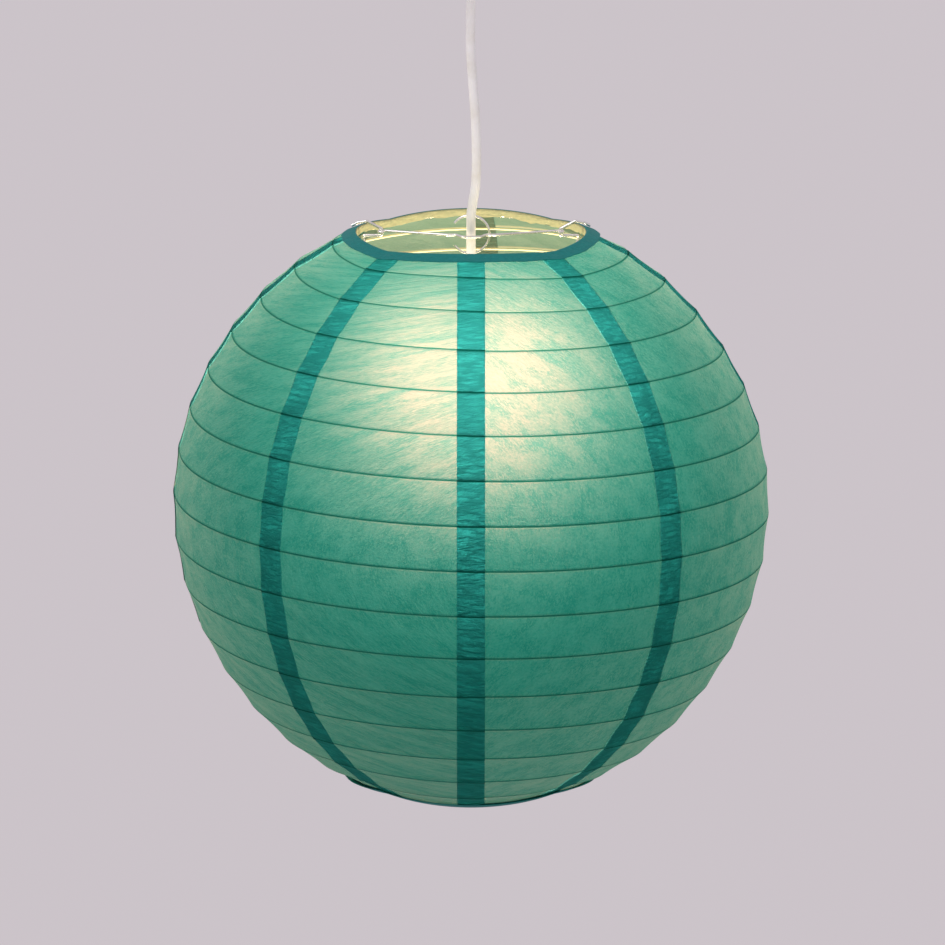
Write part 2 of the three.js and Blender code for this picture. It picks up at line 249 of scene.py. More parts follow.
# ---- node materials ----
class Nodes:
    """A material's node tree, with short calls to make nodes and join them."""

    def __init__(self, name):
        self.material = bpy.data.materials.new(name)
        self.material.use_nodes = True
        self.tree = self.material.node_tree
        self.tree.nodes.clear()
        self.output = self.tree.nodes.new("ShaderNodeOutputMaterial")

    def feed(self, socket, value):
        """Join another node's output to the socket, or set a plain value on it."""
        if isinstance(value, bpy.types.NodeSocket):
            self.tree.links.new(value, socket)
        elif socket.type == "RGBA" and len(value) == 3:
            socket.default_value = (*value, 1)
        else:
            socket.default_value = value

    def new(self, kind, inputs=None, **settings):
        node = self.tree.nodes.new("ShaderNode" + kind)
        for key, value in settings.items():
            setattr(node, key, value)
        for key, value in (inputs or {}).items():
            self.feed(node.inputs[key], value)
        return node

    def maths(self, operation, *values, clamp=False):
        inputs = dict(enumerate(values))
        return self.new("Math", inputs, operation=operation, use_clamp=clamp).outputs[0]

    def scaled(self, value, factor):
        return self.maths("MULTIPLY", value, factor)

    def total(self, *values, clamp=False):
        """The values added up, with the last sum held to 0..1 if clamp is set."""
        so_far = values[0]
        for value in values[1:-1]:
            so_far = self.maths("ADD", so_far, value)
        return self.maths("ADD", so_far, values[-1], clamp=clamp)

    def ramp(self, value, low, high, to_low=0.0, to_high=1.0):
        return self.new("MapRange", {0: value, 1: low, 2: high, 3: to_low, 4: to_high}).outputs[0]

    def colours(self, factor, first, second):
        return self.new("Mix", {0: factor, 6: first, 7: second}, data_type="RGBA").outputs[2]

    def place(self, scale=(1, 1, 1)):
        source = self.new("TexCoord").outputs["Object"]
        return self.new("Mapping", {0: source, 3: scale}).outputs[0]

    def uv(self, name):
        return self.new("UVMap", uv_map=name).outputs[0]

    def noise(self, where, scale, detail=4.0, roughness=0.55):
        return self.new("TexNoise", {"Vector": where, "Scale": scale, "Detail": detail,
                                     "Roughness": roughness}).outputs[0]

    def bump(self, height, strength, distance):
        return self.new("Bump", {"Height": height, "Strength": strength,
                                 "Distance": distance}).outputs[0]

    def blend(self, share, first, second):
        """Two shaders mixed, with share of the second."""
        return self.new("MixShader", {0: share, 1: first, 2: second}).outputs[0]

    def principled(self, **inputs):
        named = {key.replace("_", " "): value for key, value in inputs.items()}
        return self.new("BsdfPrincipled", named).outputs[0]

    def finish(self, shader):
        self.tree.links.new(shader, self.output.inputs["Surface"])
        return self.material


# ---- paper ----
# These colours, shares and IORs are fitted by trial renders, so that the lobes add up to the
# photograph's glow. They aren't measured values of any paper, and no single lobe is meant as one.
DYE_FRONT = (0.002, 0.135, 0.126)    # what the dyed side reflects
DYE_FRONT_DARK = (0.001, 0.085, 0.082)
DYE_INSIDE = (0.190, 0.245, 0.180)   # the paler side, towards the lamp
DYE_INSIDE_DARK = (0.140, 0.205, 0.145)
DYE_THROUGH = (0.012, 0.60, 0.58)    # what the paper lets through, spread out
DYE_THROUGH_DARK = (0.006, 0.44, 0.42)
DYE_AHEAD = (0.05, 0.84, 0.82)       # what goes on through the dyed fibres, roughly ahead
DYE_AHEAD_DARK = (0.02, 0.66, 0.64)
PORES = (1.0, 0.14, 0.12)            # the red that the dyed lobes lack, so that the glow is cream
PORES_DARK = (0.26, 0.12, 0.12)
# the rib wire's painted shadow: what the paper reflects and lets through along it
RIB_SHADOW_FRONT = (0.003, 0.060, 0.056)
RIB_SHADOW_THROUGH = (0.02, 0.20, 0.18)
RIB_INSIDE = (0.36, 0.35, 0.23)
RIB_BAND = 0.044                     # half width of the pale band over a rib inside, in pitches
RIB_SHADOW_LINE = 0.019                     # half width of the painted shadow line at a rib outside, in pitches
RIB_RIDGE = 0.045                    # half width of the ridge that a rib pushes up, in pitches
THROUGH_SHARE = 0.22
AHEAD_SHARE, AHEAD_IOR, AHEAD_ROUGH = 0.09, 1.7, 1.0
PORE_SHARE, PORE_IOR, PORE_ROUGH = 0.11, 1.45, 0.9
LAP_COLOUR = (0.22, 0.72, 0.80)      # the laps, glued double, have a wider lobe of their own
LAP_COLOUR_DARK = tuple(c * 0.6 for c in LAP_COLOUR)
LAP_SHARE, LAP_IOR, LAP_ROUGH = 0.50, 1.6, 1.0
CREASE_DEPTH = 0.00055


def turned_uv(n, flat, angle, stretch=(1, 1, 1)):
    return n.new("Mapping", {0: flat, 2: (0, 0, angle), 3: stretch}).outputs[0]


def ridged(n, field, width):
    """1 where a noise crosses its middle, down to 0 at width either side."""
    return n.ramp(n.maths("ABSOLUTE", n.maths("SUBTRACT", field, 0.5)), 0.0, width, 1.0, 0.0)


def fibre_lines(n, flat, angle, scale, width):
    """Fine crooked lines, mostly along one direction."""
    return ridged(n, n.noise(turned_uv(n, flat, angle, (1, 0.42, 1)), scale, 3, 0.6), width)


def paper_material():
    n = Nodes("paper")
    flat = n.uv("flat")
    marks = n.new("SeparateXYZ", {0: n.uv("ribs")})
    turns = marks.outputs[1]
    lap = n.ramp(marks.outputs[0], 0.99, 1.0, 1.0, 0.0)
    inside = n.new("NewGeometry").outputs["Backfacing"]
    outside = n.maths("SUBTRACT", 1.0, inside)

    grain = n.ramp(n.noise(flat, 620, 4, 0.75), 0.38, 0.62)
    patches = n.ramp(n.noise(flat, 55, 5, 0.62), 0.40, 0.64)
    clouds = n.ramp(n.noise(flat, 13, 3, 0.5), 0.35, 0.65)
    hairs = n.maths("MAXIMUM", fibre_lines(n, flat, 0.9, 300, 0.045),
                    fibre_lines(n, flat, -0.6, 340, 0.045))
    hairs = n.maths("MAXIMUM", hairs, fibre_lines(n, flat, 0.15, 230, 0.024))
    hairs = n.scaled(hairs, n.ramp(n.noise(flat, 90, 4, 0.6), 0.42, 0.60, 0.15, 1.0))

    # the rib behind the paper, glued to it: a painted shadow line outside, where the wire keeps the
    # lamp's light off the paper, and a pale band inside
    to_rib = n.maths("PINGPONG", turns, 0.5)
    # rib: where the rib wire's painted shadow line falls, on the outside
    rib = n.scaled(n.ramp(to_rib, RIB_SHADOW_LINE * 0.75, RIB_SHADOW_LINE, 1.0, 0.0), outside)
    band = n.scaled(n.ramp(to_rib, RIB_BAND * 0.8, RIB_BAND, 1.0, 0.0), inside)
    ridge = n.ramp(to_rib, 0.0, RIB_RIDGE, 1.0, 0.0)

    # creases: fine ones pulled across the paper, and folds that cross the glued laps
    creases = n.noise(turned_uv(n, flat, 0.45, (1, 0.16, 1)), 330, 3, 0.6)
    pulled = n.noise(turned_uv(n, flat, -0.55, (1, 0.16, 1)), 290, 3, 0.6)
    folds = n.noise(turned_uv(n, flat, 0.2, (0.30, 1, 1)), 210, 3, 0.55)
    folds = n.maths("ABSOLUTE", n.maths("SUBTRACT", folds, 0.5))
    folds = n.scaled(n.ramp(folds, 0.0, 0.10), lap)
    height = n.total(n.scaled(creases, 0.9), n.scaled(pulled, 0.9), n.scaled(grain, 0.35),
                     n.scaled(hairs, -0.25), n.scaled(folds, 1.5), n.scaled(ridge, 1.2))
    normal = n.bump(height, 0.8, CREASE_DEPTH)

    thick = n.total(n.scaled(grain, 0.42), n.scaled(patches, 0.34), n.scaled(clouds, 0.14),
                    n.scaled(hairs, 0.60), clamp=True)
    thick = n.total(thick, n.scaled(n.maths("SUBTRACT", lap, folds), 0.7), clamp=True)

    # what the paper lets through, with the rib wire's painted shadow line over it
    def passing(thin_colour, thick_colour):
        return n.colours(rib, n.colours(thick, thin_colour, thick_colour), RIB_SHADOW_THROUGH)

    def lobe(kind, colour, **settings):
        return n.new("Bsdf" + kind, {"Color": colour, "Normal": normal, **settings}).outputs[0]

    # the dyed front, with the rib wire's painted shadow line on the outside
    front = n.colours(rib, n.colours(thick, DYE_FRONT, DYE_FRONT_DARK), RIB_SHADOW_FRONT)
    front = n.colours(inside, front, n.colours(thick, DYE_INSIDE, DYE_INSIDE_DARK))
    front = n.colours(band, front, RIB_INSIDE)
    skin = n.principled(Base_Color=front, Roughness=0.7, Specular_IOR_Level=0.08, Normal=normal)
    spread = lobe("Translucent", passing(DYE_THROUGH, DYE_THROUGH_DARK))
    fibre = lobe("Refraction", passing(DYE_AHEAD, DYE_AHEAD_DARK),
                 Roughness=AHEAD_ROUGH, IOR=AHEAD_IOR)
    pores = lobe("Refraction", passing(PORES, PORES_DARK), Roughness=PORE_ROUGH, IOR=PORE_IOR)
    glued = lobe("Refraction", passing(LAP_COLOUR, LAP_COLOUR_DARK),
                 Roughness=LAP_ROUGH, IOR=LAP_IOR)
    body = n.blend(THROUGH_SHARE, skin, spread)
    single = n.blend(PORE_SHARE, n.blend(AHEAD_SHARE, body, fibre), pores)
    return n.finish(n.blend(lap, single, n.blend(LAP_SHARE, body, glued)))


def hem_material():
    n = Nodes("hem_paper")
    where = n.place()
    pulp = n.noise(where, 500, 5, 0.65)
    folds = n.noise(n.place(scale=(1, 1, 3)), 160, 3, 0.6)
    faces = n.new("NewGeometry").outputs["True Normal"]
    spoke = n.new("VectorMath", {0: n.new("TexCoord").outputs["Object"], 1: (1, 1, 0)},
                  operation="MULTIPLY").outputs[0]
    outwards = n.new("VectorMath", {0: spoke, 1: faces}, operation="DOT_PRODUCT").outputs["Value"]
    outer = n.colours(pulp, (0.008, 0.27, 0.25), (0.003, 0.14, 0.14))
    inner = n.colours(pulp, (0.34, 0.31, 0.18), (0.16, 0.20, 0.12))
    colour = n.colours(n.ramp(outwards, -0.03, -0.055), outer, inner)
    normal = n.bump(n.total(folds, n.scaled(pulp, 0.4)), 0.7, 0.0009)
    return n.finish(n.principled(Base_Color=colour, Roughness=0.65, Specular_IOR_Level=0.25,
                                 Normal=normal))


# ---- wire, flex, plastic and metal ----
def wire_material():
    n = Nodes("steel_wire")
    where = n.place()
    drawn = n.noise(where, 900, 3)
    marks = n.noise(where, 90, 4, 0.6)
    colour = n.colours(n.ramp(marks, 0.35, 0.7), (0.95, 0.95, 0.94), (0.74, 0.73, 0.70))
    rough = n.ramp(drawn, 0.3, 0.7, 0.14, 0.30)
    normal = n.bump(drawn, 0.25, 0.00008)
    return n.finish(n.principled(Base_Color=colour, Metallic=1.0, Roughness=rough, Normal=normal))


def rib_material():
    n = Nodes("rib_wire")
    where = n.place()
    glue = n.noise(where, 160, 5, 0.6)
    colour = n.colours(glue, (0.86, 0.78, 0.50), (0.62, 0.58, 0.36))
    normal = n.bump(n.noise(where, 1500, 4), 0.4, 0.0002)
    return n.finish(n.principled(Base_Color=colour, Roughness=0.6, Normal=normal))


def plastic_material(name, colour, roughness=0.38, grain=900):
    n = Nodes(name)
    where = n.place()
    moulded = n.noise(where, grain, 3, 0.5)
    dust = n.noise(where, 45, 5, 0.65)
    aged = tuple(c * f for c, f in zip(colour, (0.88, 0.86, 0.80)))
    tint = n.colours(n.ramp(dust, 0.45, 0.75), colour, aged)
    rough = n.ramp(dust, 0.3, 0.7, roughness * 0.8, roughness * 1.25)
    normal = n.bump(moulded, 0.25, 0.0001)
    return n.finish(n.principled(Base_Color=tint, Roughness=rough, Normal=normal))


def metal_material(name, colour, roughness=0.3, grain=(1, 1, 12)):
    n = Nodes(name)
    lines = n.noise(n.place(scale=grain), 260, 4, 0.6)
    tarnish = n.noise(n.place(), 60, 5, 0.65)
    dull = tuple(c * 0.62 for c in colour)
    tint = n.colours(n.ramp(tarnish, 0.45, 0.75), colour, dull)
    rough = n.ramp(lines, 0.3, 0.7, roughness * 0.7, roughness * 1.4)
    normal = n.bump(lines, 0.2, 0.0001)
    return n.finish(n.principled(Base_Color=tint, Metallic=1.0, Roughness=rough, Normal=normal))


LAMP_COLOUR = (1.0, 0.84, 0.58)
OPAL_GLOW = 6.0


def opal_material():
    n = Nodes("opal_globe")
    cloud = n.noise(n.place(), 120, 3)
    colour = n.colours(cloud, (0.96, 0.93, 0.86), (0.90, 0.86, 0.77))
    return n.finish(n.principled(Base_Color=colour, Roughness=0.3, Emission_Color=LAMP_COLOUR,
                                 Emission_Strength=OPAL_GLOW))


def board_material():
    n = Nodes("circuit_board")
    tracks = n.new("TexVoronoi", {"Vector": n.place(), "Scale": 420}, feature="DISTANCE_TO_EDGE",
                   distance="MANHATTAN").outputs[0]
    tint = n.colours(n.ramp(tracks, 0.02, 0.08), (0.16, 0.44, 0.24), (0.05, 0.20, 0.10))
    normal = n.bump(tracks, 0.2, 0.0001)
    return n.finish(n.principled(Base_Color=tint, Roughness=0.45, Normal=normal))


PAPER, HEM, WIRE, RIB = paper_material(), hem_material(), wire_material(), rib_material()
SHEATH = plastic_material("flex_sheath", (0.97, 0.97, 0.98), 0.42, 600)
PLASTIC = plastic_material("white_plastic", (0.86, 0.85, 0.82))
CERAMIC = plastic_material("ceramic", (0.88, 0.87, 0.84), 0.15, 300)
BLACK = plastic_material("black_insulator", (0.015, 0.015, 0.016), 0.2, 400)
BRASS = metal_material("brass", (0.80, 0.60, 0.27), 0.3)
BULB_METAL = metal_material("bulb_metal", (0.80, 0.80, 0.80), 0.32)
ZINC = metal_material("zinc_steel", (0.66, 0.67, 0.68), 0.36, (12, 1, 1))
OPAL, BOARD = opal_material(), board_material()

# ---- camera and flex first ----
add_camera()

# [x, height above the globe's middle], from the gland down into the lampholder
FLEX_ROUTE = [
    (0, 312), (0, 302), (-0.2, 288), (-0.3, 272), (0.9, 252), (2.4, 232), (3.2, 207), (2.7, 190),
    (1.2, 180), (0.1, 172), (0, 165), (0, 158), (0, 150), (0, 143), (0, 134), (0, 124),
]


def flowing(points, steps=6):
    """A Catmull-Rom line through the points."""
    out = []
    padded = [2 * points[0] - points[1], *points, 2 * points[-1] - points[-2]]
    for a, b, c, d in zip(padded, padded[1:], padded[2:], padded[3:]):
        for k in range(steps):
            t = k / steps
            out.append(0.5 * (2 * b + (c - a) * t + (2 * a - 5 * b + 4 * c - d) * t * t
                              + (3 * b - a - 3 * c + d) * t ** 3))
    return [*out, points[-1]]


flex_points = flowing([Vector((x * MM, 0, z * MM + CENTRE_Z)) for x, z in FLEX_ROUTE])
flex = link("flex", wire_mesh("flex", flex_points, CORD_R, 24), "flex", SHEATH,
            ["power_cord"])


# ---- paper gores ----
BAND_ROWS = 7                # rows from one rib to the next
COLUMNS = 44
SAG = 0.0005                 # how far the paper sinks between ribs
CRUMPLE = 0.00032
LAP_CRUMPLE = 0.65           # a glued lap is stiffer and crumples less
GORE_CLEAR = 0.0002          # how far the inner gores lie outside the outline
END_CLEAR = 1.3              # degrees: a rib nearer than this to a ring isn't creased into the gore
SEAM_SPREAD = 0.14           # radians past each seam that a creased rib has to cross
TURNS = range(9, -11, -1)    # every turn the rib could have, from the top down
TURN_SHIFT = 40              # keeps the turns in the UVs above zero


def gore_span(index):
    """The angles of the two seams that a gore lies between."""
    return [math.radians(a - 90) for a in (*SEAMS, 360)[index:index + 2]]


def gore_turns(first, second):
    """The turns of the rib that cross the whole gore, from the top down."""
    turns = []
    for turn in TURNS:
        ts = [rib_parameter(a, turn) for a in (first - SEAM_SPREAD, second + SEAM_SPREAD)]
        if min(ts) > T_BOTTOM + END_CLEAR and max(ts) < T_TOP - END_CLEAR:
            turns.append(turn)
    return turns


def crumpled(point, normal, amount):
    """A point moved along the normal by the paper's unevenness."""
    wave = noise.noise(point * 55) + 0.5 * noise.noise(point * 140 + Vector((3, 1, 7)))
    return point + normal * wave * amount


def rib_mark(above, below, f):
    """How many turns down a point is, f of the way from the rib above it to the one below."""
    if above is None:
        return -below - 0.5 * (1 - f)
    if below is None:
        return -above + 0.5 * f
    return -above + f


def gore_mesh(index):
    first, second = gore_span(index)
    span = second - first
    offset = (index % 2) * LAYER + GORE_CLEAR
    turns = gore_turns(first, second)
    bands = list(zip([None, *turns], [*turns, None]))
    rows = [(band, s / BAND_ROWS) for band in bands for s in range(BAND_ROWS)] + [(bands[-1], 1.0)]

    def ends(band, angle):
        high = T_TOP if band[0] is None else rib_parameter(angle, band[0])
        low = T_BOTTOM if band[1] is None else rib_parameter(angle, band[1])
        return high, low

    bm = bmesh.new()
    flat_uv = bm.loops.layers.uv.new("flat")
    rib_uv = bm.loops.layers.uv.new("ribs")
    grid, marks = [], {}
    down = 0.0
    previous = None
    for band, f in rows:
        row = []
        high, low = ends(band, (first + second) / 2)
        here = outline(high + (low - high) * f)
        radius = here[0]
        half = math.asin(LAP / 2 / radius)
        width = span + 2 * half
        down += 0 if previous is None else (here - previous).length
        previous = here
        taut = math.sin(math.pi * f) ** 0.5 if 0 < f < 1 else 0.0
        sag = SAG * 4 * f * (1 - f)
        for c in range(COLUMNS + 1):
            u = c / COLUMNS
            angle = first - half + width * u
            high, low = ends(band, angle)
            t = high + (low - high) * f
            r, z = outline(high, offset).lerp(outline(low, offset), f)
            nr, nz = outline(t, 1) - outline(t)
            r, z = r - nr * sag, z - nz * sag
            normal = Vector((nr * math.cos(angle), nr * math.sin(angle), nz))
            point = Vector((r * math.cos(angle), r * math.sin(angle), z))
            strip = min(u * width, (1 - u) * width) * r
            loose = 1.0 if strip < LAP else LAP_CRUMPLE
            point = crumpled(point, normal, CRUMPLE * loose * (0.25 + 0.75 * taut))
            vert = bm.verts.new(lifted(*point))
            marks[vert] = ((angle * radius, down), (strip / LAP, rib_mark(*band, f) + TURN_SHIFT))
            row.append(vert)
        grid.append(row)
    for upper, lower in zip(grid, grid[1:]):
        for c in range(COLUMNS):
            bm.faces.new((lower[c], lower[c + 1], upper[c + 1], upper[c]))
    for face in bm.faces:
        for loop in face.loops:
            loop[flat_uv].uv, loop[rib_uv].uv = marks[loop.vert]
    mesh = bpy.data.meshes.new(f"gore_{index + 1}")
    bm.to_mesh(mesh)
    bm.free()
    mesh.shade_smooth()
    crease = mesh.attributes.new("sharp_edge", "BOOLEAN", "EDGE")
    rib_rows = {(b + 1) * BAND_ROWS for b in range(len(turns))}
    edge_rows = [[v // (COLUMNS + 1) for v in edge.vertices] for edge in mesh.edges]
    crease.data.foreach_set("value", [a == b and a in rib_rows for a, b in edge_rows])
    return mesh


for index in range(len(SEAMS)):
    name = f"paper_gore_{index + 1}"
    gore = link(name, gore_mesh(index), "shade", PAPER, [f"paper_panel_{index + 1}"])
    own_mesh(gore)

# ---- spiral rib ----
RIB_END = 2.6                # degrees short of each ring
RIB_STEPS = 96               # to a turn
RIB_CLEAR = 0.0002           # between the rib and the outline


def rib_points():
    start, stop = T_TOP - RIB_END, T_BOTTOM + RIB_END
    count = round((start - stop) / RIB_PITCH * RIB_STEPS)
    points = []
    for k in range(count + 1):
        t = start + (stop - start) * k / count
        angle = -math.pi / 2 + (RIB_FRONT - t) / RIB_PITCH * 2 * math.pi
        r, z = outline(t, -(RIB_R + RIB_CLEAR))
        points.append(lifted(r * math.cos(angle), r * math.sin(angle), z))
    return points


rib = link("rib", wire_mesh("rib", rib_points(), RIB_R, 8), "shade", RIB,
           ["spiral_rib"])
rib.visible_shadow = False   # the paper's material paints this wire's shadow as a line, which a real shadow would double
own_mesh(rib)

# ---- hems: the paper folded over each ring, with an uneven edge ----
HEM_OUT = 0.006              # how far the strip reaches down outside
HEM_IN = -0.0002             # and past the ring's wire inside
HEM_T = 0.0004
HEM_BEND = 0.0016            # where the strip starts to turn over the ring
HEM_AROUND = 288
RING_AROUND = 144


def ragged(angle, seed, size):
    where = Vector((math.cos(angle) * 2.2, math.sin(angle) * 2.2, seed))
    return size * (noise.noise(where * 3) + 0.6 * noise.noise(where * 9))


def hem_section(angle, t_end, up, seed):
    """The strip's middle line at one angle, from its outer edge over the ring and down inside."""
    out = outline(t_end, 1) - outline(t_end)
    along = Vector((abs(out.y), -up * abs(out.x)))
    base = outline(t_end)
    lie = 2 * LAYER + HEM_T / 2
    reach = HEM_OUT + ragged(angle, seed, 0.0006)
    inner = OPENING_R + HEM_T / 2
    at_inner = (inner - base.x - lie * out.x) / along.x
    top = base + along * at_inner + out * lie
    lift = out * lie
    line = [base + along * (reach + (at_inner + HEM_BEND - reach) * k / 5) + lift for k in range(6)]
    below = Vector((inner, top.y - up * HEM_BEND * 1.2))
    corner = line[-1]
    for k in range(1, 5):
        f = k / 4
        line.append(corner * (1 - f) ** 2 + top * 2 * f * (1 - f) + below * f * f)
    ring_z = RING_TOP_Z if up > 0 else RING_BOTTOM_Z
    lowest = ring_z - up * (RING_WIRE_R + HEM_IN + ragged(angle, seed + 9, 0.0011))
    for k in range(1, 5):
        wobble = ragged(angle, seed + 5 + k, 0.00012) * k / 4
        line.append(Vector((inner + abs(wobble), below.y + (lowest - below.y) * k / 4)))
    return line


def hem_mesh(name, t_end, up, seed):
    bm = bmesh.new()
    rings = []
    for k in range(HEM_AROUND):
        angle = 2 * math.pi * k / HEM_AROUND
        line = hem_section(angle, t_end, up, seed)
        loop, back = [], []
        for i, p in enumerate(line):
            ahead = line[min(i + 1, len(line) - 1)] - line[max(i - 1, 0)]
            side = Vector((ahead.y, -ahead.x)).normalized() * (HEM_T / 2) * up
            for target, q in ((loop, p - side), (back, p + side)):
                target.append(lifted(q.x * math.cos(angle), q.x * math.sin(angle), q.y))
        rings.append([bm.verts.new(q) for q in loop + back[::-1]])
    for a, b in zip(rings, rings[1:] + rings[:1]):
        for i in range(len(a)):
            j = (i + 1) % len(a)
            bm.faces.new((a[i], a[j], b[j], b[i]))
    return solid_mesh(bm, name, 60)


link("rim_hem", hem_mesh("rim_hem", T_TOP, 1, 0.0), "shade", HEM, ["top_hem"])
link("foot_hem", hem_mesh("foot_hem", T_BOTTOM, -1, 20.0), "foot", HEM, ["bottom_hem"])


def ring_points(height):
    return [
        lifted(RING_R * math.cos(a), RING_R * math.sin(a), height)
        for a in around_circle(RING_AROUND)
    ]


link("rim_ring", wire_mesh("rim_ring", ring_points(RING_TOP_Z), RING_WIRE_R, 12, True), "shade",
     WIRE, ["top_ring"])
link("foot_ring", wire_mesh("foot_ring", ring_points(RING_BOTTOM_Z), RING_WIRE_R, 12, True), "foot",
     WIRE, ["bottom_ring"])

# ---- wire expander, crossbar and clip ----
LEG_X, KINK_X, EYE_X = 62, 64.4, 52.2
SEAT_Z, FOOT_Z = 157, -163
HALF_FRAME = [
    (70.2, 162.9), (66.8, 164.6), (61.2, 165.6), (EYE_X, 160.8), (EYE_X, SEAT_Z), (KINK_X, SEAT_Z),
    (LEG_X, 152), (LEG_X, -146), (KINK_X, -153), (LEG_X - 1, FOOT_Z),
]
half = [Vector((x * MM, FRAME_Y, z * MM + CENTRE_Z)) for x, z in HALF_FRAME]
other = [Vector((-p.x, p.y, p.z)) for p in reversed(half)]
link("expander", wire_mesh("expander", rounded(half + other, 0.0016, 8), FRAME_WIRE_R, 14), "shade",
     WIRE, ["expander_frame"])

clip_y = CORD_R + GAP + CLIP_WIRE_R
bar_front = -(CORD_R + GAP + BAR_WIRE_R)
bar_side = clip_y - CLIP_WIRE_R - GAP - BAR_WIRE_R
eye, eye_y = EYE_X * MM, FRAME_Y
HALF_BAR = [
    (0.0055, bar_front), (0.0087, bar_side), (0.014, bar_side), (eye - 0.0019, eye_y + 0.0021),
    (eye + 0.002, eye_y + 0.0021), (eye + 0.002, eye_y - 0.0021), (eye - 0.001, eye_y - 0.0021),
]
half = [Vector((x, y, BAR_Z + CENTRE_Z)) for x, y in HALF_BAR]
other = [Vector((-p.x, p.y, p.z)) for p in reversed(half)]
link("crossbar_wire", wire_mesh("crossbar_wire", rounded(other + half, 0.0015, 8), BAR_WIRE_R, 12),
     "shade", WIRE, ["crossbar"])

CLIP_OPEN = math.radians(37)
clip_points = [
    Vector((CLIP_R * math.cos(a) - 0.0005, clip_y, CLIP_R * math.sin(a) + BAR_Z + CENTRE_Z))
    for a in ((CLIP_OPEN - math.pi) + (2 * math.pi - 2 * CLIP_OPEN) * k / 60 for k in range(61))
]
link("clip", wire_mesh("clip", clip_points, CLIP_WIRE_R, 12), "shade", WIRE,
     ["cord_clip"])

# ---- lampholder ----
BORE = (CORD_R + GAP) / MM
TOP = HOLDER_TOP / MM


def thread(radius, low, high, pitch=3.6, depth=0.55, steps=8):
    """A section's wavy stretch that reads as a rolled screw thread, from low to high."""
    turns = max(1, round((high - low) / pitch))
    return [
        (radius - depth * (0.5 - 0.5 * math.cos(2 * math.pi * k / steps)),
         low + (high - low) * k / (turns * steps))
        for k in range(turns * steps + 1)
    ]


def rounded_section(corners, bend=0.6, steps=4):
    """A closed section with its corners rounded."""
    out = []
    count = len(corners)
    for i, (r, z) in enumerate(corners):
        here = Vector((r, z))
        before, after = Vector(corners[i - 1]), Vector(corners[(i + 1) % count])
        back = min(bend, (before - here).length * 0.45, (after - here).length * 0.45)
        a = here + (before - here).normalized() * back
        b = here + (after - here).normalized() * back
        for k in range(steps + 1):
            f = k / steps
            out.append(a * (1 - f) ** 2 + here * 2 * f * (1 - f) + b * f * f)
    return [(p.x, p.y) for p in out]


def turned_piece(name, node, corners, body, material, bend=0.5, z=CENTRE_Z, around=72):
    section = rounded_section(corners, bend) if bend else corners
    return link(name, lathe_mesh(name, section, z, around), body, material, [node])


holder_cap = turned_piece("holder_cap", "lampholder_cap", [
    (BORE, TOP), (6.5, TOP), (6.5, TOP - 5), (10, TOP - 7.5), (17, TOP - 12), (19.5, TOP - 19),
    (19.5, TOP - 30), (18, TOP - 30), (18, TOP - 19.5), (16, TOP - 13.7), (9.4, TOP - 9.2),
    (BORE, TOP - 7),
], "lamp", PLASTIC, 1.2)
skirt_thread = thread(19.5, TOP - 47.5, TOP - 31.5, 3.2, 0.6)
holder_skirt = turned_piece("holder_skirt", "lampholder_skirt", [
    (14.7, TOP - 50), (18.4, TOP - 50), (19.5, TOP - 49), *skirt_thread, (19.5, TOP - 30.3),
    (17.7, TOP - 30.3), (17.7, TOP - 46), (14.7, TOP - 47),
], "lamp", PLASTIC, 0)
shell_out = thread(14.3, TOP - 47, TOP - 28, 3.6, 0.4)
shell_in = [(r - 0.45, z) for r, z in reversed(shell_out)]
holder_shell = turned_piece("holder_shell", "lampholder_screw_shell", [
    (14.3, TOP - 48), *shell_out, *shell_in, (13.85, TOP - 48),
], "lamp", BRASS, 0)

# ---- bulb ----
TIP = TOP - 26.3 - 0.9
GLOBE_LAMP_R, GLOBE_LAMP_Z = 23.5, TIP - 55
NECK = math.radians(27)


def globe_arc(radius, first, last, steps=28):
    return [
        (max(radius * math.cos(a), 0), GLOBE_LAMP_Z + radius * math.sin(a))
        for a in (first + (last - first) * k / steps for k in range(steps + 1))
    ]


outer_arc = globe_arc(GLOBE_LAMP_R, -math.pi / 2, NECK)
inner_arc = globe_arc(GLOBE_LAMP_R - 1, NECK, -math.pi / 2)
outer_arc[0], inner_arc[-1] = (0, outer_arc[0][1]), (0, inner_arc[-1][1])
opal = link("opal_globe", lathe_mesh("opal_globe", outer_arc + inner_arc, CENTRE_Z, 72, False),
            "bulb", OPAL, ["bulb_globe"])
base_out = thread(13.3, TIP - 24, TIP - 7, 3.6, 0.5)
base_in = [(r - 0.6, z) for r, z in reversed(base_out)]
bulb_base = turned_piece("bulb_base", "bulb_screw_base", [
    (12.6, TIP - 25), (13.3, TIP - 25), *base_out, (13.3, TIP - 6.1), (8.6, TIP - 3.9),
    (8, TIP - 4.4), (12.6, TIP - 6.6), *base_in,
], "bulb", BULB_METAL, 0)
bulb_body = turned_piece("bulb_body", "bulb_collar", [
    (11.3, TIP - 25.3), (13.3, TIP - 25.3), (14.6, TIP - 29), (20.4, TIP - 40), (22, TIP - 44),
    (20.6, TIP - 44), (19.1, TIP - 40), (13.2, TIP - 29), (11.3, TIP - 27.3),
], "bulb", PLASTIC, 0.8)

# ---- ceiling rose ----
turned_piece("rose_shell", "rose_cover", [
    (45, -0.5), (45, -8), (42, -20), (34, -27), (16, -31), (8, -32), (5.3, -32), (5.3, -30.4),
    (15.7, -29.2), (33.2, -25.4), (40.4, -19), (43.4, -8), (43.4, -0.5),
], "ceiling", PLASTIC, 2.5, 0.0, 96)
gland = turned_piece("gland", "cord_gland", [
    (BORE, -21), (5, -21), (5, -32.3), (7.5, -32.3), (7.5, -40), (6.3, -47), (5.2, -47), (BORE, -43),
], "ceiling", PLASTIC, 0.5, 0.0, 48)

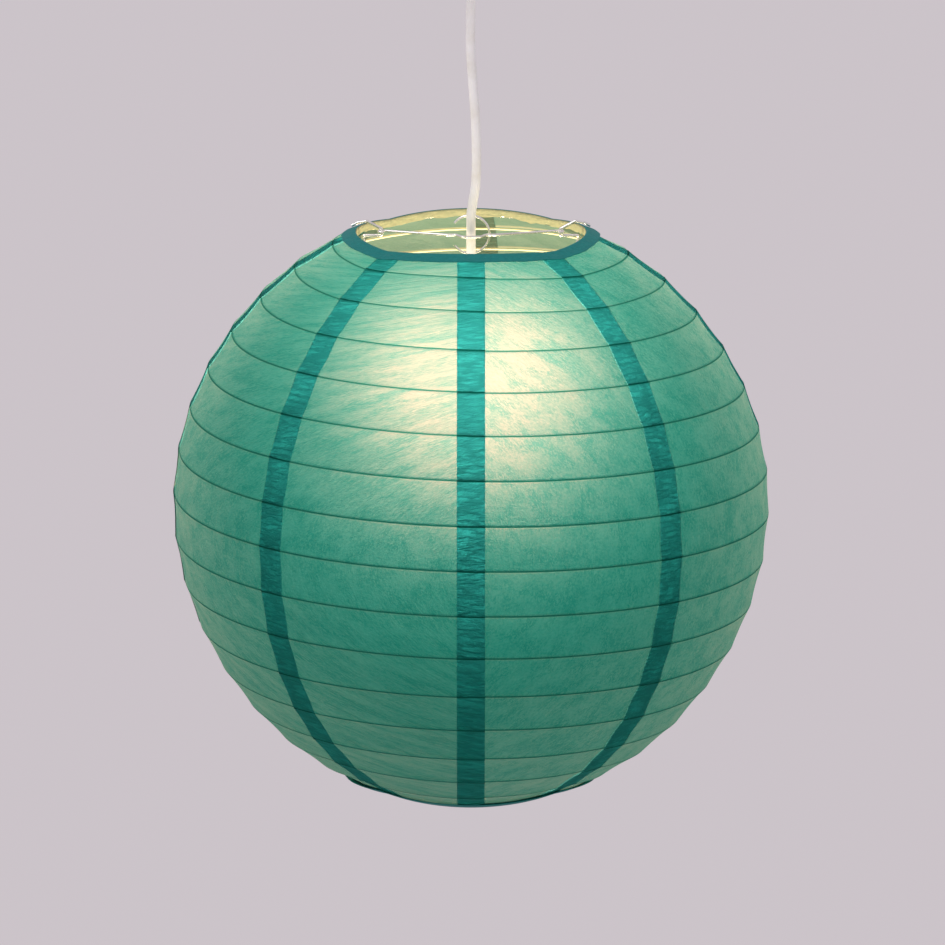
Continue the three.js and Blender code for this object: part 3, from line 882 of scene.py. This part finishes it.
# ---- materials for the CAD nodes that stay ----
KEPT = {
    "lampholder_cord_grip": PLASTIC, "lampholder_insulator": CERAMIC, "terminal_screw_live": BRASS,
    "terminal_screw_neutral": BRASS, "centre_contact": BRASS, "bulb_tip_contact": BULB_METAL,
    "bulb_base_insulator": BLACK, "led_board": BOARD, "driver_board": BOARD, "mounting_plate": ZINC,
    "cover_screw_right": ZINC, "cover_screw_left": ZINC, "gland_nut": PLASTIC,
    "terminal_block": PLASTIC, "cord_tail": SHEATH,
}
for node, material in KEPT.items():
    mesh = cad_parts[node].data
    mesh.materials.clear()
    mesh.materials.append(material)
    smooth(mesh)

# ---- lights, floor and backdrop ----
BULB_WATTS = 2.1
BULB_SOFT = 0.045            # radius, fitted: about twice the bulb's, for as soft a patch
BULB_RAISE = 0.009           # fitted: puts the bright patch at the photograph's height
BULB_PLACE = (0, 0, CENTRE_Z + GLOBE_LAMP_Z * MM + BULB_RAISE)
KEY_WATTS = 26.0
KEY_PLACE = (-1.0, -1.6, 2.2)
KEY_SIZE = 1.6
FLOOR = (0.60, 0.555, 0.585)
FLOOR_R, FLOOR_Z = 3.0, -1.9
WORLD = (0.60, 0.55, 0.585)
WORLD_STRENGTH = 1.0


def add_light(name, kind, watts, place, aim=None, size=1.0, colour=(1, 1, 1)):
    data = bpy.data.lights.new(name, kind)
    data.energy = watts
    data.color = colour
    if kind == "AREA":
        data.shape = "DISK"
        data.size = size
    else:
        data.shadow_soft_size = size
    light = bpy.data.objects.new(name, data)
    light.location = place
    if aim is not None:
        light.rotation_euler = (Vector(aim) - Vector(place)).to_track_quat("-Z", "Y").to_euler()
    bpy.context.collection.objects.link(light)
    return light


glow = add_light("bulb_light", "POINT", BULB_WATTS, BULB_PLACE, size=BULB_SOFT, colour=LAMP_COLOUR)
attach(glow, "bulb")
LAMP_NODES = ("lamp", "bulb", "led", "driver", "centre")
lamp_parts = [opal, bulb_body, bulb_base, holder_cap, holder_skirt, holder_shell]
lamp_parts += [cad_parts[node] for node in KEPT if node.startswith(LAMP_NODES)]
for piece in lamp_parts:
    piece.visible_shadow = False     # they stand inside the glow, and would blot it out
add_light("key", "AREA", KEY_WATTS, KEY_PLACE, (0, 0, CENTRE_Z), KEY_SIZE, (1.0, 0.99, 0.98))


def floor_mesh():
    bm = bmesh.new()
    bmesh.ops.create_circle(bm, cap_ends=True, segments=96, radius=FLOOR_R)
    mesh = bpy.data.meshes.new("floor")
    bm.to_mesh(mesh)
    bm.free()
    return mesh


def floor_material():
    """A pale floor that is only there from above, so that it hides nothing from below."""
    n = Nodes("floor")
    paint = n.noise(n.place(), 1.3, 3, 0.5)
    tint = n.colours(n.ramp(paint, 0.35, 0.65), FLOOR, tuple(c * 1.06 for c in FLOOR))
    normal = n.bump(n.noise(n.place(), 60, 4), 0.2, 0.002)
    skin = n.principled(Base_Color=tint, Roughness=0.8, Normal=normal)
    below = n.new("NewGeometry").outputs["Backfacing"]
    return n.finish(n.blend(below, skin, n.new("BsdfTransparent").outputs[0]))


floor = bpy.data.objects.new("floor", floor_mesh())
floor.location = (0, 0, FLOOR_Z)
floor.data.materials.append(floor_material())
bpy.context.collection.objects.link(floor)

world = bpy.data.worlds.new("studio")
world.use_nodes = True
background = world.node_tree.nodes["Background"]
background.inputs["Color"].default_value = (*WORLD, 1)
background.inputs["Strength"].default_value = WORLD_STRENGTH
bpy.context.scene.world = world
bpy.context.scene.view_settings.view_transform = "Standard"
